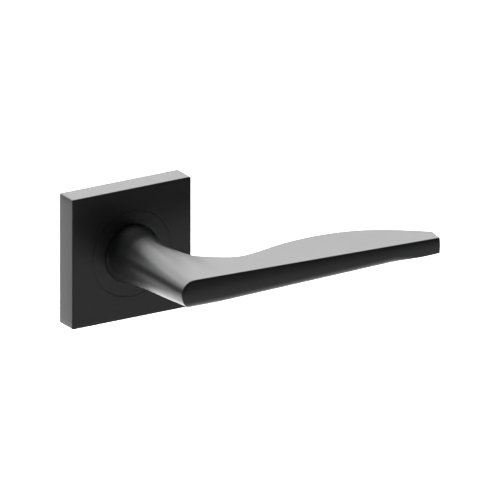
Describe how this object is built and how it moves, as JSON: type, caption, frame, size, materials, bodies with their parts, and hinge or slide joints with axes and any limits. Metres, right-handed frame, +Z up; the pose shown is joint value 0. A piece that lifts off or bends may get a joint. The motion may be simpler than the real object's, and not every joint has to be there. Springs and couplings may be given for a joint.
{
  "type": "door lever handle",
  "caption": "Satin black door lever handle on a square rose: a flat tapering blade on a round neck, with a sprung bearing, square spindle and bolt-through posts behind.",
  "frame": {"origin": "on the spindle's axis, in the plane where the rose meets the door's face", "axes": "+Y goes into the door along the spindle, so the lever stands out towards -Y; +X runs along the lever to its free end; +Z is up"},
  "size_m": [0.1315, 0.094, 0.052],
  "materials": {
    "satin_black": "satin black coating on cast metal",
    "cast_zinc": "as-cast zinc alloy",
    "zinc_plated_steel": "bright zinc plating",
    "spring_steel": "oiled spring steel",
    "dark_steel": "black oxide",
    "nylon": "natural nylon"
  },
  "bodies": {
    "rose": {"rose_cover": "satin_black", "collar_ring": "satin_black", "mounting_plate": "cast_zinc", "back_sheet": "zinc_plated_steel", "bearing_sleeve": "nylon", "return_spring": "spring_steel", "fixing_post_left": "zinc_plated_steel", "fixing_post_right": "zinc_plated_steel", "sheet_screw_1": "dark_steel", "sheet_screw_2": "dark_steel", "sheet_screw_3": "dark_steel", "sheet_screw_4": "dark_steel", "cover_clip_1": "spring_steel", "cover_clip_2": "spring_steel", "cover_clip_3": "spring_steel", "cover_clip_4": "spring_steel"},
    "lever": {"lever": "satin_black", "driver_plate": "zinc_plated_steel", "wave_washer": "spring_steel", "circlip": "spring_steel", "spindle": "zinc_plated_steel", "grub_screw": "dark_steel"}
  },
  "joints": [
    {"name": "lever_turn", "type": "hinge", "parent": "rose", "child": "lever", "pos_m": [0, 0, 0], "axis": [0, 1, 0], "range_deg": [-45, 45], "stiffness_Nm_per_rad": 0.7, "springref_deg": -6.3, "deforming": ["return_spring"]}
  ]
}
